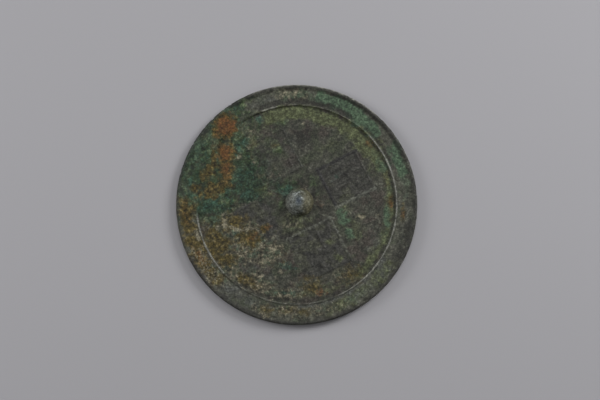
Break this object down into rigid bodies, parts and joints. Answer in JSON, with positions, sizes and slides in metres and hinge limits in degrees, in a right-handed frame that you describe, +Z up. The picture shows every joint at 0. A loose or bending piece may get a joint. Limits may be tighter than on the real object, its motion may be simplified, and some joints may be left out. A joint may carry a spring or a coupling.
{
  "type": "ancient bronze mirror",
  "caption": "Round cast bronze mirror lying on its polished face, with a raised lip, a string ring, square panels of worn strokes and a pierced central knob.",
  "frame": {"origin": "middle of the underside, on the flat spot that the mirror lies on", "axes": "+Z up from the polished face to the decorated back, +Y along the cord hole through the knob"},
  "size_m": [0.14, 0.14, 0.0106],
  "materials": {
    "patinated_bronze": "dark grey-brown bronze under green, olive and ochre corrosion, dull and slightly rough"
  },
  "bodies": {
    "root": {"mirror_casting": "patinated_bronze"}
  },
  "joints": []
}
